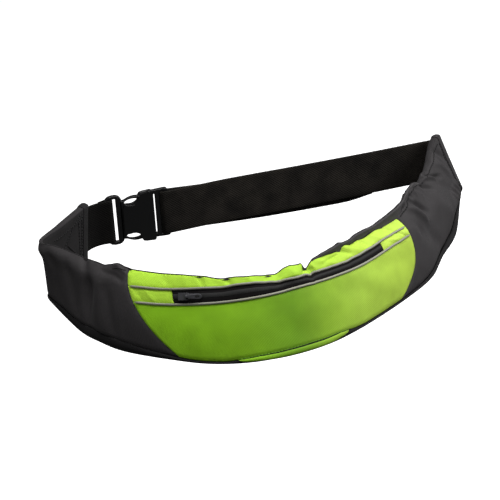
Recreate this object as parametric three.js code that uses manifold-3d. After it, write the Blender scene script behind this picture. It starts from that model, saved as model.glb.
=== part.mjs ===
import * as THREE from 'three';
import { mergeVertices } from 'three/addons/utils/BufferGeometryUtils.js';
import Module from 'manifold-3d';

const wasm = await Module();
wasm.setup();

// Driving dimensions in millimetres. The origin is the middle of the waist loop, at the height
// of the middle of the webbing, +X to the wearer's left, +Y to the buckle and +Z up.

// The pack: its plan, the height and outward lean of its face, and its trims.
const loop_width = 360;
const loop_depth = 180;
const pack_height = 58;
const pack_lean = 25;
const gusset_depth = 24;
const cloth = 1.2;
const end_binding_length = 6;
const end_binding_thickness = 0.7;
const piping_diameter = 2.2;
const lip_thickness = 1;

// Gaps between pieces that touch: along a seam, under a trim, under the zip's coil, and
// between pieces that move on each other.
const seam_gap = 0.3;
const trim_gap = 0.45;
const coil_gap = 0.6;
const moving_clearance = 0.35;

// The webbing, its room inside the ends of the wings, and its route.
const webbing_width = 38;
const webbing_thickness = 1.6;
const webbing_play = 0.75;
const end_margin = 4;
const webbing_in_wing = 16;
const webbing_mouth = 1.2;
const short_bend = 5;
const long_bend = 7;
const straight_before_bar = 8;
const short_tail = 9;
const short_droop = 2.4;
const turn_in = 8;
const turn_back = 5;
const strap_bow = 0.6;
const tail_share = 0.777;
const tail_droop = 3.5;

// The side-release buckle. wing_to_buckle is the way from the left wing's end to its bar.
const wing_to_buckle = 25.6;
const buckle_drop = 1.5;
const buckle_length = 50;
const buckle_thickness = 7.2;
const male_thickness = 4.4;
const bar_thickness = 3;
const bar_width = 2.8;
const rail_width = 2.2;
const frame_step = 0.6;
const slot_play = 1.95;
const outer_slot_play = 0.93;
const window_height = 6.4;
const window_share = 0.705;
const arm_width = 1.6;
const joint_offset = 1;
const tongue_inset = 7;
const tongue_step = 1;
const pocket_end_wall = 2.45;
const corner_large = 8;
const corner_medium = 3;
const corner_small = 1.5;

// The zip's coil, slider and pull. slider_at is its share of the way round the pack.
const zip_coil_width = 3;
const zip_coil_height = 1;
const slider_at = 0.373;
const slider_length = 9;
const slider_wall = 0.95;
const slider_plate = 1.5;
const bridge_diameter = 1;
const bridge_post = 0.8;
const pull_length = 12;
const pull_width = 3.8;
const pull_thickness = 1;
const pull_shoulder = 0.6;
const pull_barrel_wall = 0.6;
const pull_barrel_length = 2.2;
const pull_droop = 13;

const binding_width = 2 * cloth + webbing_thickness + 2 * webbing_play;
const end_height = webbing_width + 2 * end_margin;

// Sections along the pack, from the buckle end of the left wing round to the end of the right
// wing. across and back place the top seam in the loop, facing is the heading of the outward
// side in degrees. top, drop and sag are shares of the pack's height, lean of pack_lean and
// gusset of gusset_depth. end goes from 0 on the pouch to 1 where the height is the webbing's.
// crown rounds the face out, and upper and lower place the two pipings down the face.
const station_columns = ['across', 'back', 'facing', 'top', 'drop', 'lean', 'gusset', 'sag',
  'end', 'crown', 'upper', 'lower'];
const station_rows = [
  [-0.371, 0.432, 138, 0.34, 0.76, 0.00, 0.22, 0.04, 1.0, 0.50, 0.40, 0.60],
  [-0.438, 0.284, 148, 0.34, 0.78, 0.00, 0.30, 0.05, 0.6, 0.60, 0.40, 0.60],
  [-0.487, 0.167, 180, 0.34, 0.79, -0.10, 0.25, 0.05, 0.2, 0.75, 0.40, 0.60],
  [-0.453, 0.089, 206, 0.33, 0.81, 0.33, 0.50, 0.06, 0.0, 0.85, 0.38, 0.58],
  [-0.400, -0.044, 213, 0.28, 0.86, 0.70, 0.67, 0.11, 0.0, 0.75, 0.36, 0.56],
  [-0.367, -0.156, 217, 0.31, 0.86, 0.86, 0.75, 0.12, 0.0, 0.75, 0.34, 0.54],
  [-0.328, -0.250, 228, 0.325, 0.89, 0.94, 0.83, 0.12, 0.0, 0.75, 0.295, 0.49],
  [-0.256, -0.350, 236, 0.315, 0.94, 1.00, 0.92, 0.08, 0.0, 0.60, 0.24, 0.43],
  [-0.183, -0.444, 245, 0.32, 0.97, 1.00, 1.00, 0.06, 0.0, 0.50, 0.16, 0.355],
  [-0.106, -0.500, 264, 0.335, 0.98, 0.96, 1.00, 0.05, 0.0, 0.40, 0.10, 0.30],
  [-0.014, -0.478, 282, 0.33, 0.99, 1.00, 1.00, 0.05, 0.0, 0.40, 0.16, 0.295],
  [0.050, -0.428, 292, 0.32, 1.00, 1.04, 1.00, 0.05, 0.0, 0.40, 0.19, 0.325],
  [0.136, -0.339, 301, 0.315, 0.98, 1.04, 1.00, 0.06, 0.0, 0.50, 0.235, 0.385],
  [0.233, -0.211, 307, 0.305, 0.97, 1.04, 0.92, 0.06, 0.0, 0.50, 0.225, 0.385],
  [0.300, -0.106, 315, 0.32, 0.96, 1.04, 0.83, 0.08, 0.0, 0.50, 0.27, 0.42],
  [0.350, 0.039, 321, 0.33, 0.94, 1.06, 0.75, 0.09, 0.0, 0.50, 0.32, 0.48],
  [0.411, 0.189, 327, 0.34, 0.92, 1.06, 0.58, 0.08, 0.2, 0.40, 0.36, 0.54],
  [0.478, 0.400, 331, 0.39, 0.84, 0.88, 0.40, 0.05, 0.7, 0.00, 0.40, 0.60],
  [0.508, 0.476, 331, 0.43, 0.79, 0.74, 0.22, 0.04, 1.0, 0.05, 0.40, 0.60],
];

// Soft dents and ridges. at is the share of the way round the pack and half its half width as
// a share of the same length. depth is a share of pack_height, in at the face, and lower of
// the same height, down at the top seam. from and to are the stretch of the face it runs over.
const fold_columns = ['at', 'half', 'depth', 'lower', 'from', 'to'];
const fold_rows = [
  [0.224, 0.026, 0.055, 0.000, 0.20, 0.95],
  [0.254, 0.016, -0.020, -0.045, 0.00, 0.45],
  [0.412, 0.018, 0.010, 0.030, 0.00, 0.20],
  [0.515, 0.022, -0.030, -0.035, 0.00, 0.24],
  [0.549, 0.012, 0.040, 0.080, 0.00, 0.26],
  [0.618, 0.020, -0.020, -0.030, 0.00, 0.28],
  [0.764, 0.016, -0.035, 0.000, 0.00, 0.60],
  [0.849, 0.018, 0.045, 0.025, 0.00, 0.55],
];

// Columns of the pack's grid. at is the share of the way round at the top seam and low at the
// bottom seam, bend how late the seam between them sweeps over, and steps the spans before it.
const column_columns = ['name', 'at', 'low', 'bend', 'steps'];
const column_rows = [
  ['left_end', 0.000, 0.000, 1.0, 0],
  ['left_corner', 0.210, 0.210, 1.0, 15],
  ['green_left', 0.288, 0.367, 2.3, 5],
  ['zip_left', 0.351, 0.403, 2.2, 4],
  ['lip_left', 0.425, 0.437, 2.5, 6],
  ['lip_right', 0.598, 0.578, 3.5, 13],
  ['zip_right', 0.684, 0.651, 4.0, 6],
  ['green_right', 0.746, 0.688, 5.0, 4],
  ['right_hip', 0.816, 0.816, 1.0, 5],
  ['right_end', 1.000, 1.000, 1.0, 12],
];

// Rows of the grid, round the section from the front of the top seam.
const row_steps = { strip: 2, band: 2, front: 6, gusset: 4, back: 4, binding: 2 };

const named_rows = (columns, rows) => rows.map(
  (row) => Object.fromEntries(columns.map((name, i) => [name, row[i]])));
const stations = named_rows(station_columns, station_rows);
const folds = named_rows(fold_columns, fold_rows);
const columns = named_rows(column_columns, column_rows);

// Shares that shape the section: how far down the face a fold still lowers the top seam, how
// much the bottom gusset bulges, and how much the back panel bows towards the pocket.
const fold_reach = 0.3;
const gusset_bulge = 0.28;
const back_bow = 0.08;
const back_edge = 0.6;

const finishes = {
  green: [0x8fce2a, 0.75], charcoal: [0x3a393c, 0.85], gusset: [0x232224, 0.85],
  webbing: [0x15130f, 0.8], silver: [0xa2a292, 0.4], zip: [0x1e1a1c, 0.6],
  plastic: [0x1b1b1d, 0.45], metal: [0x55565a, 0.4],
};

const part = new THREE.Group();

function add(name, geometry, finish, matrix) {
  const [color, roughness] = finishes[finish];
  const metalness = finish === 'metal' ? 0.8 : 0;
  const material = new THREE.MeshStandardMaterial({ color, roughness, metalness });
  geometry.deleteAttribute('normal');
  geometry.deleteAttribute('uv');
  const merged = mergeVertices(geometry, 1e-4);
  merged.computeVertexNormals();
  const mesh = new THREE.Mesh(merged, material);
  mesh.name = name;
  if (matrix) {
    matrix.decompose(mesh.position, mesh.quaternion, mesh.scale);
  }
  part.add(mesh);
  return mesh;
}

function solid(geometry) {
  const bare = geometry.index ? geometry.toNonIndexed() : geometry.clone();
  bare.deleteAttribute('normal');
  bare.deleteAttribute('uv');
  const merged = mergeVertices(bare, 1e-4);
  return new wasm.Manifold(new wasm.Mesh({
    numProp: 3,
    vertProperties: new Float32Array(merged.attributes.position.array),
    triVerts: new Uint32Array(merged.index.array),
  }));
}

function geometry_of(manifold) {
  const mesh = manifold.getMesh();
  const geometry = new THREE.BufferGeometry();
  geometry.setAttribute('position', new THREE.BufferAttribute(
    new Float32Array(mesh.vertProperties), 3));
  geometry.setIndex(new THREE.BufferAttribute(new Uint32Array(mesh.triVerts), 1));
  return geometry;
}

// The pack's plan and sections

function smooth(a, b, c, d, t) {
  return 0.5 * (2 * b + (c - a) * t + (2 * a - 5 * b + 4 * c - d) * t * t
    + (3 * b - a - 3 * c + d) * t * t * t);
}

function station_between(t) {
  const last = stations.length - 1;
  const i = Math.min(Math.floor(t), last - 1);
  const here = {};
  for (const name of station_columns) {
    const b = stations[i][name];
    const c = stations[i + 1][name];
    const a = i > 0 ? stations[i - 1][name] : 2 * b - c;
    const d = i + 2 <= last ? stations[i + 2][name] : 2 * c - b;
    here[name] = smooth(a, b, c, d, t - i);
  }
  return here;
}

const plan_steps = 40;
const plan = [{ t: 0, way: 0 }];
for (let k = 1; k <= plan_steps * (stations.length - 1); k++) {
  const before = station_between((k - 1) / plan_steps);
  const after = station_between(k / plan_steps);
  const step = Math.hypot((after.across - before.across) * loop_width,
    (after.back - before.back) * loop_depth);
  plan.push({ t: k / plan_steps, way: plan[k - 1].way + step });
}
const pack_length = plan[plan.length - 1].way;

function section_at(share) {
  const way = THREE.MathUtils.clamp(share, 0, 1) * pack_length;
  let k = plan.findIndex((entry) => entry.way >= way);
  k = Math.max(k, 1);
  const from = plan[k - 1];
  const to = plan[k];
  const t = from.t + (to.t - from.t) * (way - from.way) / (to.way - from.way);
  const here = station_between(t);
  const heading = THREE.MathUtils.degToRad(here.facing);
  const e = here.end;
  return {
    share, upper: here.upper, lower: here.lower, crown: here.crown, end: e,
    x: here.across * loop_width, y: here.back * loop_depth,
    out: new THREE.Vector3(Math.cos(heading), Math.sin(heading), 0),
    top: here.top * pack_height * (1 - e) + (here.top * pack_height / 2 + end_height / 4) * e,
    drop: here.drop * pack_height * (1 - e) + end_height * e,
    lean: here.lean * pack_lean,
    gusset: here.gusset * gusset_depth * (1 - e) + binding_width * e,
    sag: here.sag * pack_height,
  };
}

function hump(value, middle, half) {
  const far = Math.abs(value - middle) / half;
  return far < 1 ? 0.5 + 0.5 * Math.cos(Math.PI * far) : 0;
}

// Each function gives [out, up] in the section, from the top seam.

function face_point(section, v) {
  const turn = v * Math.PI / 2;
  const flat = 1 - section.crown;
  let out = section.lean * (section.crown * Math.sin(turn) + flat * v);
  let up = -section.drop * (section.crown * (1 - Math.cos(turn)) + flat * v);
  for (const fold of folds) {
    const near = hump(section.share, fold.at, fold.half);
    const middle = (fold.from + fold.to) / 2;
    out -= fold.depth * pack_height * near * hump(v, middle, (fold.to - fold.from) / 2);
    up -= fold.lower * pack_height * near * Math.max(0, 1 - v / fold_reach);
  }
  return [out, up];
}

function gusset_point(section, v) {
  const { lean, drop, gusset, sag } = section;
  const bulge = Math.min(gusset, gusset_depth / 2) * gusset_bulge;
  const ends = [[lean, -drop], [lean + bulge, -drop - sag * 0.6],
    [lean - gusset * 0.25, -drop - sag * 1.8], [lean - gusset, -drop - sag * 0.7]];
  const s = 1 - v;
  const weights = [s * s * s, 3 * s * s * v, 3 * s * v * v, v * v * v];
  return [0, 1].map((axis) => weights.reduce((sum, w, k) => sum + w * ends[k][axis], 0));
}

function back_point(section, v) {
  const [low_out, low_up] = gusset_point(section, 1);
  const [top_out, top_up] = [-binding_width, face_point(section, 0)[1] - cloth * back_edge];
  const bow = back_bow * Math.max(section.gusset - binding_width, 0) * Math.sin(Math.PI * v);
  const [face_out, face_up] = face_point(section, 1 - v);
  const level = face_up + (low_up + section.drop) * (1 - v) - cloth * back_edge * v;
  return [
    THREE.MathUtils.lerp(THREE.MathUtils.lerp(low_out, top_out, v) - bow,
      face_out - binding_width, section.end),
    THREE.MathUtils.lerp(THREE.MathUtils.lerp(low_up, top_up, v), level, section.end),
  ];
}

function binding_point(section, v) {
  const [from_out, from_up] = back_point(section, 1);
  const [to_out, to_up] = face_point(section, 0);
  return [THREE.MathUtils.lerp(from_out, to_out, v),
    THREE.MathUtils.lerp(from_up, to_up, v) + cloth * 0.5 * Math.sin(Math.PI * v)];
}

function place(section, [out, up]) {
  return new THREE.Vector3(section.x, section.y, section.top + up)
    .addScaledVector(section.out, out);
}

// The grid: every cloth piece is cut from it, so neighbours share their seam line.

const column_at = {};
const grid_columns = [];
columns.forEach((to, i) => {
  const from = columns[Math.max(i - 1, 0)];
  for (let k = 1; k <= Math.max(to.steps, 1); k++) {
    const f = to.steps ? k / to.steps : 1;
    grid_columns.push({
      at: THREE.MathUtils.lerp(from.at, to.at, f), low: THREE.MathUtils.lerp(from.low, to.low, f),
      bend: THREE.MathUtils.lerp(from.bend, to.bend, f),
    });
  }
  column_at[to.name] = grid_columns.length - 1;
});

const band_order = Object.keys(row_steps);
const row_at = {};
const grid_rows = [];
for (const band of band_order) {
  row_at[band] = grid_rows.length;
  for (let k = 0; k < row_steps[band]; k++) {
    grid_rows.push({ band, share: k / row_steps[band] });
  }
}
const row_count = grid_rows.length;

// How far down the face the pipings' places are read where the seam sweeps over.
const guide_height = 0.35;

function grid_point(column, { band, share }) {
  const swept = (v) => section_at(THREE.MathUtils.lerp(column.at, column.low, v ** column.bend));
  const guide = swept(guide_height);
  const spans = { strip: [0, guide.upper], band: [guide.upper, guide.lower],
    front: [guide.lower, 1] };
  if (spans[band]) {
    const v = THREE.MathUtils.lerp(...spans[band], share);
    const section = swept(v);
    return place(section, face_point(section, v));
  }
  if (band === 'gusset') {
    const section = swept(1);
    return place(section, gusset_point(section, share));
  }
  if (band === 'back') {
    const section = swept(1 - share);
    return place(section, back_point(section, share));
  }
  const section = swept(0);
  return place(section, binding_point(section, share));
}

const skin = grid_rows.map((row) => grid_columns.map((column) => grid_point(column, row)));

const row_wrap = (r) => (r + row_count) % row_count;

function normal_at(r, c) {
  const last = grid_columns.length - 1;
  const normal = new THREE.Vector3();
  for (const [r0, c0] of [[r, c], [r - 1, c], [r, c - 1], [r - 1, c - 1]]) {
    if (c0 < 0 || c0 >= last) {
      continue;
    }
    const a = skin[row_wrap(r0)][c0];
    const b = skin[row_wrap(r0)][c0 + 1];
    const d = skin[row_wrap(r0 + 1)][c0];
    normal.add(new THREE.Vector3().subVectors(d, a)
      .cross(new THREE.Vector3().subVectors(b, a)).normalize());
  }
  return normal.normalize();
}

const skin_normals = skin.map((row, r) => row.map((_, c) => normal_at(r, c)));

function offset_point(r, c, out) {
  const row = row_wrap(r);
  return skin[row][c].clone().addScaledVector(skin_normals[row][c], out);
}

// A closed wall between two grids of points. Where wrap is true its last row meets its first.

function wall(outer, inner, wrap = false) {
  const rows = outer.length;
  const across = outer[0].length;
  const points = [...outer.flat(), ...inner.flat()];
  const inner_start = rows * across;
  const index = [];
  const at = (r, c) => (r % rows) * across + c;
  const quad = (a, b, c, d) => index.push(a, b, c, a, c, d);
  for (let r = 0; r < (wrap ? rows : rows - 1); r++) {
    for (let c = 0; c < across - 1; c++) {
      const corners = [at(r, c), at(r, c + 1), at(r + 1, c + 1), at(r + 1, c)];
      quad(...corners.map((k) => k + inner_start));
      quad(...corners.reverse());
    }
    for (const [c, turned] of [[0, true], [across - 1, false]]) {
      const side = [at(r, c), at(r + 1, c), at(r + 1, c) + inner_start, at(r, c) + inner_start];
      quad(...(turned ? side.reverse() : side));
    }
  }
  if (!wrap) {
    for (let c = 0; c < across - 1; c++) {
      for (const [r, turned] of [[0, false], [rows - 1, true]]) {
        const side = [at(r, c), at(r, c + 1), at(r, c + 1) + inner_start, at(r, c) + inner_start];
        quad(...(turned ? side.reverse() : side));
      }
    }
  }
  const geometry = new THREE.BufferGeometry();
  geometry.setAttribute('position', new THREE.BufferAttribute(
    new Float32Array(points.flatMap((p) => [p.x, p.y, p.z])), 3));
  geometry.setIndex(index);
  if (volume_of(geometry) < 0) {
    geometry.setIndex(index.slice().reverse());
  }
  return geometry;
}

function volume_of(geometry) {
  const position = geometry.attributes.position;
  const [a, b, c] = [0, 1, 2].map(() => new THREE.Vector3());
  let sum = 0;
  for (let k = 0; k < geometry.index.count; k += 3) {
    [a, b, c].forEach((p, j) => p.fromBufferAttribute(position, geometry.index.getX(k + j)));
    sum += a.dot(b.cross(c)) / 6;
  }
  return sum;
}

// Half of a seam's gap is taken off each open edge of a piece.

function pull_in(grid, rows_too) {
  const last_row = grid.length - 1;
  const last = grid[0].length - 1;
  const toward = (p, q) => p.clone().add(
    new THREE.Vector3().subVectors(q, p).setLength(seam_gap / 2));
  const drawn = grid.map((row) => row.map((p, c) => {
    if (c === 0) {
      return toward(p, row[1]);
    }
    return c === last ? toward(p, row[last - 1]) : p.clone();
  }));
  if (rows_too) {
    grid[0].forEach((_, c) => {
      drawn[0][c] = toward(drawn[0][c], drawn[1][c]);
      drawn[last_row][c] = toward(drawn[last_row][c], drawn[last_row - 1][c]);
    });
  }
  return drawn;
}

function cloth_piece(name, finish, [row_from, row_to], [column_from, column_to]) {
  const layer = (out) => {
    const grid = [];
    for (let r = row_from; r <= row_to; r++) {
      const line = [];
      for (let c = column_from; c <= column_to; c++) {
        line.push(offset_point(r, c, out));
      }
      grid.push(line);
    }
    return pull_in(grid, true);
  };
  return add(name, wall(layer(0), layer(-cloth)), finish);
}

const whole = [column_at.left_end, column_at.right_end];
const green = [column_at.green_left, column_at.green_right];
const face_rows = [row_at.strip, row_at.gusset];
cloth_piece('wing_left', 'charcoal', face_rows, [whole[0], green[0]]);
cloth_piece('wing_right', 'charcoal', face_rows, [green[1], whole[1]]);
cloth_piece('top_strip', 'green', [row_at.strip, row_at.band], green);
cloth_piece('front_panel', 'green', [row_at.front, row_at.gusset], green);
const band_rows = [row_at.band, row_at.front];
cloth_piece('zip_end_left', 'green', band_rows, [green[0], column_at.zip_left]);
cloth_piece('zip_end_right', 'green', band_rows, [column_at.zip_right, green[1]]);
cloth_piece('zip_tape', 'zip', band_rows, [column_at.zip_left, column_at.zip_right]);
cloth_piece('bottom_gusset', 'gusset', [row_at.gusset, row_at.back], whole);
cloth_piece('back_panel', 'charcoal', [row_at.back, row_at.binding], whole);
cloth_piece('top_binding', 'gusset', [row_at.binding, row_count], whole);

// Trims that lie on the cloth

function lying_piece(name, finish, rows, [column_from, column_to], thickness) {
  const layer = (out) => pull_in(rows.map((r) => {
    const line = [];
    for (let c = column_from; c <= column_to; c++) {
      line.push(offset_point(r, c, out));
    }
    return line;
  }), true);
  return add(name, wall(layer(seam_gap + thickness), layer(seam_gap)), finish);
}

const lip_columns = [column_at.lip_left, column_at.lip_right];
lying_piece('bottom_lip', 'green', [row_at.gusset, row_at.gusset + 1], lip_columns,
  lip_thickness);

function piping(name, r) {
  const radius = piping_diameter / 2;
  const points = [];
  for (let c = green[0]; c <= green[1]; c++) {
    points.push(offset_point(r, c, radius + trim_gap));
  }
  const route = new THREE.CatmullRomCurve3(points);
  const round = new THREE.Shape(new THREE.Path().absarc(0, 0, radius, 0, 2 * Math.PI)
    .getPoints(3).slice(0, -1));
  add(name, new THREE.ExtrudeGeometry(round, {
    steps: points.length + 4, extrudePath: route, bevelEnabled: false,
  }), 'silver');
}
piping('piping_upper', row_at.band);
piping('piping_lower', row_at.front);

function end_binding(name, c_end, c_next) {
  const ring = (out) => skin.map((_, r) => {
    const edge = offset_point(r, c_end, out);
    const back = offset_point(r, c_next, out);
    const step = new THREE.Vector3().subVectors(back, edge).setLength(end_binding_length);
    const line = [edge, edge.clone().add(step)];
    return c_end < c_next ? line : line.reverse();
  });
  const over = trim_gap + end_binding_thickness;
  add(name, wall(ring(over), ring(trim_gap), true), 'charcoal');
}
end_binding('end_binding_left', whole[0], whole[0] + 1);
end_binding('end_binding_right', whole[1], whole[1] - 1);

// The zip's coil, slider and pull

const middle_row = row_at.band + row_steps.band / 2;

function coil_line(side, out) {
  const line = [];
  for (let c = column_at.zip_left; c <= column_at.zip_right; c++) {
    const middle = offset_point(middle_row, c, out);
    const beside = offset_point(middle_row - side, c, out);
    const away = new THREE.Vector3().subVectors(beside, middle);
    line.push(side ? middle.add(away.setLength(zip_coil_width / 2)) : middle);
  }
  return line;
}
const coil_low = coil_gap;
const coil_top = coil_low + zip_coil_height;
const coil_layer = (edge_out, middle_out) => pull_in(
  [coil_line(1, edge_out), coil_line(0, middle_out), coil_line(-1, edge_out)], false);
add('zip_coil', wall(coil_layer(coil_top - zip_coil_height / 2, coil_top),
  coil_layer(coil_low, coil_low)), 'zip');

function zip_frame(share) {
  const at = (s) => {
    const section = section_at(s);
    return place(section, face_point(section, (section.upper + section.lower) / 2));
  };
  const step = 0.5 * slider_length / pack_length;
  const along = new THREE.Vector3().subVectors(at(share + step), at(share - step)).normalize();
  const section = section_at(share);
  const down = place(section, face_point(section, section.lower));
  const up = place(section, face_point(section, section.upper)).sub(down);
  const out = new THREE.Vector3().crossVectors(along, up).normalize();
  const across = new THREE.Vector3().crossVectors(out, along);
  return new THREE.Matrix4().makeBasis(along, across, out).setPosition(at(share));
}
const slider_frame = zip_frame(slider_at);

const box = (length, width, height, x, y, z) => solid(
  new THREE.BoxGeometry(length, width, height).translate(x, y, z + height / 2));
const rod = (diameter, length, sides) => new THREE.CylinderGeometry(
  diameter / 2, diameter / 2, length, sides);

const slider_channel = zip_coil_width + 2 * moving_clearance;
const slider_width = slider_channel + 2 * slider_wall;
const slider_low = seam_gap + moving_clearance;
const slider_roof = coil_top + moving_clearance;
const slider_top = slider_roof + slider_plate;
const barrel_diameter = bridge_diameter + 2 * (moving_clearance + pull_barrel_wall);
const bridge_up = slider_top + moving_clearance + barrel_diameter / 2;
const bridge_along = slider_length * 0.2;
const post_at = pull_barrel_length / 2 + moving_clearance + bridge_post / 2;

function slider_body() {
  const outline = new THREE.Shape();
  const half = slider_length / 2;
  const side = slider_width / 2;
  const nose = slider_width / 4;
  outline.moveTo(-half, -side);
  outline.lineTo(half - nose, -side);
  outline.lineTo(half, -side + nose);
  outline.lineTo(half, side - nose);
  outline.lineTo(half - nose, side);
  outline.lineTo(-half, side);
  let body = solid(new THREE.ExtrudeGeometry(outline, {
    depth: slider_top - slider_low, bevelEnabled: false,
  }).translate(0, 0, slider_low));
  body = body.subtract(box(2 * slider_length, slider_channel, slider_roof, 0, 0, 0));
  const post_foot = slider_top - slider_plate / 2;
  const post_height = bridge_up + bridge_diameter / 2 - post_foot;
  for (const way of [-1, 1]) {
    body = body.add(box(bridge_diameter, bridge_post, post_height, bridge_along,
      way * post_at, post_foot));
  }
  return body.add(solid(rod(bridge_diameter, 2 * post_at, 8)
    .translate(bridge_along, 0, bridge_up)));
}

function pull_body() {
  const reach = barrel_diameter / 2 + moving_clearance;
  const tab = new THREE.Shape();
  tab.moveTo(0, -pull_barrel_length / 2);
  tab.lineTo(reach, -pull_barrel_length / 2);
  tab.lineTo(reach + pull_shoulder, -pull_width / 2);
  tab.absarc(pull_length - pull_width / 2, 0, pull_width / 2, -Math.PI / 2, Math.PI / 2);
  tab.lineTo(reach + pull_shoulder, pull_width / 2);
  tab.lineTo(reach, pull_barrel_length / 2);
  tab.lineTo(0, pull_barrel_length / 2);
  const hole = new THREE.Path();
  const from = pull_length * 0.58;
  const to = pull_length * 0.86;
  const side = pull_width * 0.24;
  hole.moveTo(from, -side);
  hole.lineTo(from, side);
  hole.lineTo(to, side);
  hole.lineTo(to, -side);
  tab.holes.push(hole);
  const flat = solid(new THREE.ExtrudeGeometry(tab, {
    depth: pull_thickness, bevelEnabled: false, curveSegments: 5,
  }).translate(0, 0, -pull_thickness / 2));
  const bore = bridge_diameter + 2 * moving_clearance;
  return flat.add(solid(rod(barrel_diameter, pull_barrel_length, 12)))
    .subtract(solid(rod(bore, 2 * pull_barrel_length, 12)));
}

add('zip_slider', geometry_of(slider_body()), 'metal', slider_frame);
const pull_turn = new THREE.Matrix4()
  .makeRotationY(THREE.MathUtils.degToRad(pull_droop))
  .setPosition(bridge_along, 0, bridge_up);
add('zip_pull', geometry_of(pull_body()), 'metal', slider_frame.clone().multiply(pull_turn));

// The webbing, from inside each wing to its bar of the buckle

const webbing_rows = 4;

function wing_middle(share, z) {
  const section = section_at(share);
  const up = z - section.top;
  const find = (curve, rising) => {
    let [low, high] = [0, 1];
    for (let k = 0; k < 24; k++) {
      const middle = (low + high) / 2;
      const above = curve(section, middle)[1] > up;
      [low, high] = above === rising ? [low, middle] : [middle, high];
    }
    return curve(section, low)[0];
  };
  const out = (find(face_point, false) + find(back_point, true)) / 2;
  return place(section, [out, up]);
}

const bar_reach = bar_thickness / 2 + moving_clearance + webbing_thickness / 2;
const half_length = buckle_length / 2;
const buckle_across = stations[0].across * loop_width + wing_to_buckle + half_length;
const buckle_back = loop_depth * 0.49;
const front_layer = buckle_back - bar_reach;
const back_layer = buckle_back + bar_reach;
const male_bar = buckle_across - half_length + moving_clearance + bar_width;
const female_bar = buckle_across + half_length - moving_clearance - bar_width;

const vector = (x, y, z) => new THREE.Vector3(x, y, z);

// Inside a wing and round the bend to the first straight point, at one height.
function from_wing(share_from, share_end, z, next, handle, steps) {
  const inside = [0, 0.5, 1].map((f) => wing_middle(
    THREE.MathUtils.lerp(share_from, share_end, f), z));
  const leaving = new THREE.Vector3().subVectors(inside[2], inside[1]).setLength(1);
  const mouth = inside[2].clone().addScaledVector(leaving, webbing_mouth);
  const away = Math.sign(next.x - mouth.x);
  const bend = new THREE.CubicBezierCurve3(mouth, mouth.clone().addScaledVector(leaving, handle),
    vector(next.x - away * handle, next.y, next.z), next);
  return [...inside, ...bend.getPoints(steps)];
}

function round_bar(bar_x, side, z, steps) {
  const turn = [];
  for (let k = 0; k <= steps; k++) {
    const angle = -Math.PI / 2 + Math.PI * k / steps;
    turn.push(vector(bar_x + side * bar_reach * Math.cos(angle),
      buckle_back + bar_reach * Math.sin(angle), z));
  }
  return turn;
}

function ribbon(name, lines) {
  const normals = lines.map((line, r) => line.map((_, c) => {
    const along = new THREE.Vector3().subVectors(
      line[Math.min(c + 1, line.length - 1)], line[Math.max(c - 1, 0)]);
    const down = new THREE.Vector3().subVectors(
      lines[Math.min(r + 1, lines.length - 1)][c], lines[Math.max(r - 1, 0)][c]);
    return down.cross(along).normalize();
  }));
  const layer = (out) => lines.map((line, r) => line.map(
    (p, c) => p.clone().addScaledVector(normals[r][c], out)));
  return add(name, wall(layer(webbing_thickness / 2), layer(-webbing_thickness / 2)), 'webbing');
}

const heights = Array.from({ length: webbing_rows + 1 },
  (_, k) => (0.5 - k / webbing_rows) * webbing_width);
const inside_share = webbing_in_wing / pack_length;
const left_mid = section_at(0).top - end_height / 2;
const right_mid = section_at(1).top - end_height / 2;

ribbon('webbing_short', heights.map((h) => {
  const z = h - buckle_drop;
  const next = vector(male_bar - straight_before_bar, front_layer, z);
  return [...from_wing(inside_share, 0, left_mid + h, next, short_bend, 5),
    ...round_bar(male_bar, 1, z, 6),
    vector(male_bar - short_tail, back_layer, z - short_droop)];
}));

const strap_end = vector(section_at(1).x - turn_in, section_at(1).y + turn_back, right_mid / 2);
const strap_span = strap_end.x - female_bar;
ribbon('webbing_long', heights.map((h) => {
  const z = h - buckle_drop;
  const next = vector(strap_end.x, strap_end.y, strap_end.z + h);
  const straight = [0.25, 0.5, 0.75].map((f) => vector(strap_end.x - f * strap_span,
    THREE.MathUtils.lerp(strap_end.y, front_layer, f ** 0.7) - strap_bow * Math.sin(Math.PI * f),
    THREE.MathUtils.lerp(strap_end.z, 0, f) + h));
  const tail = [0.3, 0.65, 1].map((f) => vector(female_bar + f * tail_share * strap_span,
    back_layer, z - tail_droop * f ** 0.4));
  return [...from_wing(1 - inside_share, 1, right_mid + h, next, long_bend, 7), ...straight,
    vector(female_bar + straight_before_bar, front_layer, z),
    ...round_bar(female_bar, -1, z, 6), ...tail];
}));

// The side-release buckle: drawn with x along the strap and y up, then turned upright.

const upright = new THREE.Matrix4().makeRotationX(Math.PI / 2)
  .setPosition(buckle_across, buckle_back, -buckle_drop);
const slot_half = webbing_width / 2 + moving_clearance;
const frame_half = slot_half + rail_width;
const first_bar = half_length - moving_clearance - bar_width;
const slot_length = bar_reach + webbing_thickness / 2 + slot_play;

function rounded(x0, x1, half, [r0, r1]) {
  const shape = new THREE.Shape();
  shape.moveTo(x0 + r0, -half);
  shape.lineTo(x1 - r1, -half);
  shape.absarc(x1 - r1, -half + r1, r1, -Math.PI / 2, 0);
  shape.absarc(x1 - r1, half - r1, r1, 0, Math.PI / 2);
  shape.absarc(x0 + r0, half - r0, r0, Math.PI / 2, Math.PI);
  shape.absarc(x0 + r0, -half + r0, r0, Math.PI, 1.5 * Math.PI);
  return shape;
}

function plate(shape, thickness, detail = 4) {
  return solid(new THREE.ExtrudeGeometry(shape, {
    depth: thickness, bevelEnabled: false, curveSegments: detail,
  }).translate(0, 0, -thickness / 2));
}

function slot(from, to) {
  const through = 2 * buckle_thickness;
  return box(to - from, 2 * slot_half, through, (from + to) / 2, 0, -through / 2);
}

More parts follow.
